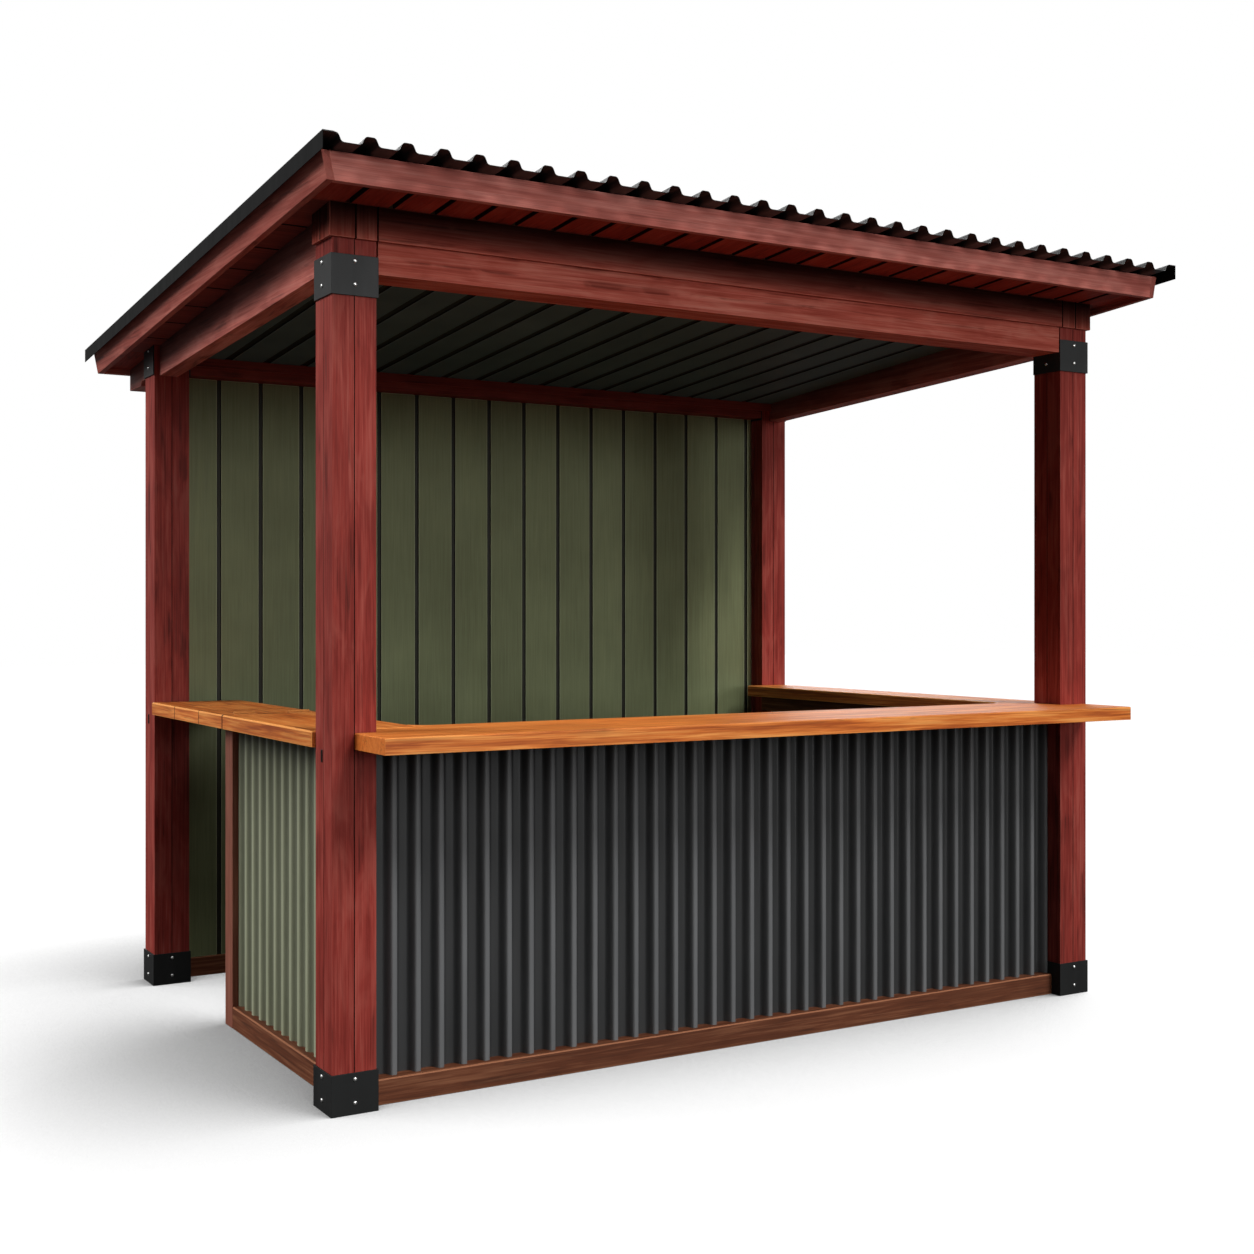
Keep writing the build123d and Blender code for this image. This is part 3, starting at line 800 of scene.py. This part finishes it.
def tongues(node, places, gap, squeeze):
    """Thin tongues that close the joints behind the faces of lining boards."""
    solid = solid_of(node)
    strips = [sliced(solid, X, place - gap, place + gap) for place in places]
    solid.free()
    for strip in strips:
        bmesh.ops.recalc_face_normals(strip, faces=strip.faces)
        strip.normal_update()
        squeeze(strip)
    return strips


def thin_wall_tongue(strip):
    """Bring a wall tongue's faces in from the boards' faces."""
    depths = [vertex.co[Y] for vertex in strip.verts]
    centre = (min(depths) + max(depths)) / 2
    for vertex in strip.verts:
        vertex.co[Y] = centre + (vertex.co[Y] - centre) * tongue_share


def thin_ceiling_tongue(strip):
    """Lift a ceiling tongue's underside from the boards' faces."""
    for vertex in strip.verts:
        if vertex.normal[Z] < 0:
            vertex.co[Z] += tongue_lift


def lining(node, look, pitch, first, gap, squeeze):
    """Grooved lining boards with a tongue in each joint."""
    low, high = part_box(node)
    places = run_of_boards(low[X], high[X], pitch, first)
    seams = [(X, place) for place in places]
    boards = boards_of(solid_of(node), X, places, gap)
    seam_reach = gap / 2 + seam_gap / 2
    mesh = joined(f"{node}_boards", [(board, 0) for board in boards], board_arris, seams, seam_reach)
    place_mesh(f"{node}_boards", mesh, look, "root", [node])
    strips = tongues(node, places, gap, squeeze)
    strip_mesh = joined(f"{node}_tongues", [(strip, 0) for strip in strips], 0, seams, 2 * gap)
    place_mesh(f"{node}_tongues", strip_mesh, look, "root", [])


lining(
    "back_wall",
    olive,
    back_board_pitch,
    back_first_board,
    back_board_gap,
    thin_wall_tongue,
)
lining(
    "ceiling",
    charcoal_boards,
    ceiling_board_pitch,
    ceiling_first_board,
    ceiling_board_gap,
    thin_ceiling_tongue,
)


def face_outwards(mesh):
    """Turn a closed mesh's faces outwards."""
    made = bmesh.new()
    made.from_mesh(mesh)
    bmesh.ops.recalc_face_normals(made, faces=made.faces)
    made.to_mesh(mesh)
    made.free()


def sheet_mesh(name, near, far, start, finish):
    """Closed sheet between two lines of points, swept from a start to a finish offset."""
    count = len(near)
    points = []
    for line in (near, far):
        for offset in (start, finish):
            points += [tuple(Vector(point) + Vector(offset)) for point in line]
    faces = []
    for step in range(count - 1):
        a, b, c, d = (number * count + step for number in range(4))
        faces.append([a, a + 1, b + 1, b])
        faces.append([c, d, d + 1, c + 1])
        faces.append([a, c, c + 1, a + 1])
        faces.append([b, b + 1, d + 1, d])
    last = count - 1
    faces.append([0, count, 3 * count, 2 * count])
    faces.append([last, 2 * count + last, 3 * count + last, count + last])
    mesh = bpy.data.meshes.new(name)
    mesh.from_pydata(points, [], faces)
    face_outwards(mesh)
    mesh.polygons.foreach_set("use_smooth", [True] * len(mesh.polygons))
    mesh.set_sharp_from_angle(angle=math.radians(sheet_crease_deg))
    return mesh


def corrugated(node, run, depth, outward, look):
    """Smooth corrugated sheet with narrow ridges on its outer side."""
    low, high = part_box(node)
    length = high[run] - low[run]
    reach = high[depth] - low[depth] - panel_thickness
    outer = high[depth] if outward > 0 else low[depth]
    waves = max(1, round(length / wave_spacing))
    count = waves * wave_steps
    near = []
    far = []
    depths = []
    for step in range(count + 1):
        narrow = ((1 + math.cos(2 * math.pi * step / wave_steps)) / 2) ** wave_ridge_power
        ridge = 1 - (1 - narrow) ** wave_crest_power
        deep = reach * (1 - ridge)
        depths.append(1 - ridge)
        for line, extra in ((near, 0.0), (far, panel_thickness)):
            point = [0.0, 0.0, 0.0]
            point[run] = low[run] + length * step / count
            point[depth] = outer - outward * (deep + extra)
            line.append(point)
    mesh = sheet_mesh(f"{node}_sheet", near, far, (0, 0, low[Z]), (0, 0, high[Z]))
    # The points are four lines: near and low, near and high, far and low, far and high
    # Mark for painted shade in the valleys
    mesh.attributes.new("deep", "FLOAT", "POINT").data.foreach_set("value", depths * 4)
    # Mark for painted shade at the top of the sheet, under the counter
    heights = [0.0] * len(near) + [1.0] * len(near)
    mesh.attributes.new("painted_shade", "FLOAT", "POINT").data.foreach_set("value", heights * 2)
    place_mesh(f"{node}_sheet", mesh, look, "root", [node])


corrugated("front_panel", X, Y, -1, charcoal)
corrugated("left_panel", Y, X, -1, sage)
corrugated("right_panel", Y, X, 1, sage)


def rounded(line, radius, steps):
    """Open line with its inner corners rounded."""
    made = [line[0]]
    for before, corner, after in zip(line, line[1:], line[2:]):
        back = Vector(before) - Vector(corner)
        ahead = Vector(after) - Vector(corner)
        reach = min(radius, back.length / 2, ahead.length / 2)
        first = Vector(corner) + back.normalized() * reach
        last = Vector(corner) + ahead.normalized() * reach
        for step in range(steps + 1):
            share = step / steps
            one = first.lerp(Vector(corner), share)
            other = Vector(corner).lerp(last, share)
            made.append(tuple(one.lerp(other, share)))
    made.append(line[-1])
    return made


def ribbed_roof():
    """Roof sheet with rounded ribs, running down the slope."""
    low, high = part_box("roof_sheet")
    half = (high[X] - low[X]) / 2
    edge_rib = half - edge_rib_inset
    spaces = round(2 * edge_rib / rib_spacing)
    spacing = 2 * edge_rib / spaces
    rise = [(across * rib_width / 2, up * rib_height) for across, up in rib_outline_shares]
    fall = [(-across, up) for across, up in reversed(rise)]
    line = [(-half, rib_height)]
    line += [(-edge_rib + across, up) for across, up in fall]
    for rib in range(1, spaces):
        centre = -edge_rib + rib * spacing
        line += [(centre + across, up) for across, up in rise + fall]
    line += [(edge_rib + across, up) for across, up in rise]
    line.append((half, rib_height))
    smooth = rounded(line, rib_corner_radius, rib_corner_steps)
    near = [(x, 0.0, up) for x, up in smooth]
    far = [(x, 0.0, up + roof_sheet_thickness) for x, up in smooth]
    front_base = high[Z] - rib_height - roof_sheet_thickness
    mesh = sheet_mesh("roof_sheet_ribbed", near, far, (0, low[Y], front_base), (0, high[Y], low[Z]))
    place_mesh("roof_sheet_ribbed", mesh, black, "root", ["roof_sheet"])


ribbed_roof()
# The verge trims take the darker copy of the black coating: painted shade
kept_nodes = {
    "left_verge_trim": trim,
    "right_verge_trim": trim,
    "flap_hinge_fixed": brass,
    "flap_hinge_moving": brass,
}
for node, look in kept_nodes.items():
    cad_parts[node].data.materials.clear()
    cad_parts[node].data.materials.append(look)


def bolt_heads(name, places, look):
    """Domed bolt heads, each at a point with an outward direction."""
    points = []
    faces = []
    for place, outward in places:
        turn = Vector((0, 0, 1)).rotation_difference(Vector(outward))
        profile = [(bolt_radius, 0.0), (bolt_radius, bolt_rim)]
        for ring in range(1, bolt_rings):
            angle = math.pi / 2 * ring / bolt_rings
            up = bolt_rim + (bolt_height - bolt_rim) * math.sin(angle)
            profile.append((bolt_radius * math.cos(angle), up))
        start = len(points)
        for radius, up in profile:
            for side in range(bolt_sides):
                angle = 2 * math.pi * side / bolt_sides
                local = Vector((radius * math.cos(angle), radius * math.sin(angle), up))
                points.append(tuple(Vector(place) + turn @ local))
        points.append(tuple(Vector(place) + turn @ Vector((0, 0, bolt_height))))
        for ring in range(len(profile) - 1):
            for side in range(bolt_sides):
                following = (side + 1) % bolt_sides
                low = start + ring * bolt_sides
                high = low + bolt_sides
                faces.append([low + side, low + following, high + following, high + side])
        crown = start + len(profile) * bolt_sides
        top = crown - bolt_sides
        faces += [[top + side, top + (side + 1) % bolt_sides, crown] for side in range(bolt_sides)]
        faces.append([start + side for side in reversed(range(bolt_sides))])
    mesh = bpy.data.meshes.new(name)
    mesh.from_pydata(points, [], faces)
    mesh.polygons.foreach_set("use_smooth", [True] * len(mesh.polygons))
    mesh.set_sharp_from_angle(angle=math.radians(bolt_crease_deg))
    place_mesh(name, mesh, look, "root", [])


def steel(node, look):
    """Steel bracket with eased edges."""
    mesh = joined(f"{node}_plate", [(solid_of(node), 0)], steel_arris)
    place_mesh(f"{node}_plate", mesh, look, "root", [node])


# The collars take the lighter copy of the powder coat: painted light
for node, look in (("post_shoes", powder), ("front_collars", lit_powder), ("rear_collars", lit_powder)):
    steel(node, look)


def bracket_bolts():
    """Bolt heads on the faces of the shoes and collars, two on each middle line."""
    for node, ends in (
        ("post_shoes", ("front", "rear")),
        ("front_collars", ("front",)),
        ("rear_collars", ("rear",)),
    ):
        low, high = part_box(node)
        places = []
        for end in ends:
            for side in ("left", "right"):
                post_low, post_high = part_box(f"post_{end}_{side}")
                centre = (post_low + post_high) / 2
                directions = [(-1, 0), (1, 0), (0, -1), (0, 1)]
                if node == "front_collars":
                    directions.remove((0, 1))
                if node == "rear_collars":
                    directions.remove((0, -1))
                for across, along in directions:
                    x = centre[X] + across * (post_high[X] - centre[X] + plate_reach)
                    y = centre[Y] + along * (post_high[Y] - centre[Y] + plate_reach)
                    for share in bolt_level_shares:
                        z = high[Z] - (high[Z] - low[Z]) * share
                        places.append(((x, y, z), (across, along, 0)))
        bolt_heads(f"{node}_bolts", places, silver)


bracket_bolts()


def roof_screws():
    """Coated screws in the roof sheet's valleys, over each purlin."""
    low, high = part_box("roof_sheet")
    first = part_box("post_front_left")[0][Y] + purlin_width / 2
    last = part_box("post_rear_left")[1][Y] - purlin_width / 2
    front_base = high[Z] - rib_height
    slope = roof_slope()
    edge_rib = high[X] - edge_rib_inset
    spaces = round(2 * edge_rib / rib_spacing)
    places = []
    for line in range(purlin_lines):
        y = first + (last - first) * line / (purlin_lines - 1)
        z = front_base - slope * (y - low[Y])
        for valley in range(1, spaces, screw_every):
            x = -edge_rib + (valley + valley_middle_share) * 2 * edge_rib / spaces
            places.append(((x, y, z), (0, slope, 1)))
    bolt_heads("roof_screws", places, black)


roof_screws()


def slot_caps():
    """Slotted steel caps on the outer faces of the posts, under the counters."""
    points = []
    faces = []
    half = slot_length / 2 - slot_radius
    count = 2 * (slot_steps + 1)
    for post in posts:
        low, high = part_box(post)
        outward = -1 if "left" in post else 1
        x = low[X] if outward < 0 else high[X]
        y = middle(post, Y) + slot_offset
        start = len(points)
        for radius_share, height_share in slot_ring_shares:
            radius = slot_radius * radius_share
            for end in (1, -1):
                for step in range(slot_steps + 1):
                    angle = math.pi * step / slot_steps
                    across = end * radius * math.cos(angle)
                    up = end * (half + radius * math.sin(angle))
                    points.append((x + outward * slot_height * height_share, y + across, slot_level + up))
        for ring in range(len(slot_ring_shares) - 1):
            for step in range(count):
                following = (step + 1) % count
                near = start + ring * count
                far = near + count
                faces.append([near + step, near + following, far + following, far + step])
        deepest = start + (len(slot_ring_shares) - 1) * count
        faces.append([deepest + step for step in range(count)])
        faces.append([start + step for step in reversed(range(count))])
    mesh = bpy.data.meshes.new("slot_caps")
    mesh.from_pydata(points, [], faces)
    face_outwards(mesh)
    place_mesh("slot_caps", mesh, powder, "root", [])


slot_caps()


def studio():
    """Pale floor, soft light and the camera."""
    scene = bpy.context.scene
    mesh = bpy.data.meshes.new("floor")
    corners = [(-1, -1), (1, -1), (1, 1), (-1, 1)]
    points = [(x * floor_reach, y * floor_reach, -floor_drop) for x, y in corners]
    mesh.from_pydata(points, [], [[0, 1, 2, 3]])
    floor = bpy.data.objects.new("floor", mesh)
    scene.collection.objects.link(floor)
    pale, tree, shader = blank("pale_floor")
    seen = add(tree, "ShaderNodeLightPath").outputs["Is Camera Ray"]
    lean = Vector(shadow_lean).normalized()
    leaning = add(tree, "ShaderNodeCombineXYZ", {"X": lean.x, "Y": lean.y, "Z": lean.z}).outputs[0]
    open_share = add(
        tree,
        "ShaderNodeAmbientOcclusion",
        {"Distance": shadow_reach, "Normal": leaning},
        samples=shadow_steps,
    ).outputs["AO"]
    opened = sums(tree, "POWER", open_share, shadow_power)
    lit = spread(tree, opened, 0.0, 1.0, floor_shadow, floor_white)
    cover = add(
        tree,
        "ShaderNodeAmbientOcclusion",
        {"Distance": cover_reach},
        samples=shadow_steps,
    ).outputs["AO"]
    indoors = spread(tree, cover, cover_low_share, cover_high_share, floor_shadow, 1.0)
    glow = sums(tree, "MULTIPLY", sums(tree, "MULTIPLY", lit, indoors), seen)
    shader.inputs["Base Color"].default_value = floor_bounce
    shader.inputs["Emission Color"].default_value = backdrop
    tree.links.new(glow, shader.inputs["Emission Strength"])
    shader.inputs["Roughness"].default_value = floor_roughness
    shader.inputs["Specular IOR Level"].default_value = 0.0
    mesh.materials.append(pale)

    world = bpy.data.worlds.new("studio")
    world.use_nodes = True
    tree = world.node_tree
    sky = tree.nodes["Background"]
    ray = add(tree, "ShaderNodeLightPath")
    lit = mix(tree, ray.outputs["Is Diffuse Ray"], mirrored, ambient)
    tree.links.new(mix(tree, ray.outputs["Is Camera Ray"], lit, backdrop), sky.inputs["Color"])
    scene.world = world

    for name, source, spread_deg, power in suns:
        lamp = bpy.data.lights.new(name, "SUN")
        lamp.angle = math.radians(spread_deg)
        lamp.energy = power
        light = bpy.data.objects.new(name, lamp)
        light.rotation_euler = (-Vector(source)).to_track_quat("-Z", "Y").to_euler()
        scene.collection.objects.link(light)

    lens = bpy.data.cameras.new("camera")
    lens.sensor_width = camera_sensor
    lens.lens = camera_lens
    lens.shift_y = camera_shift_share
    camera = bpy.data.objects.new("camera", lens)
    camera.location = camera_place
    camera.rotation_euler = (math.radians(camera_tilt_deg), 0, -math.radians(camera_yaw_deg))
    scene.collection.objects.link(camera)
    scene.camera = camera
    scene.view_settings.view_transform = "Standard"


studio()
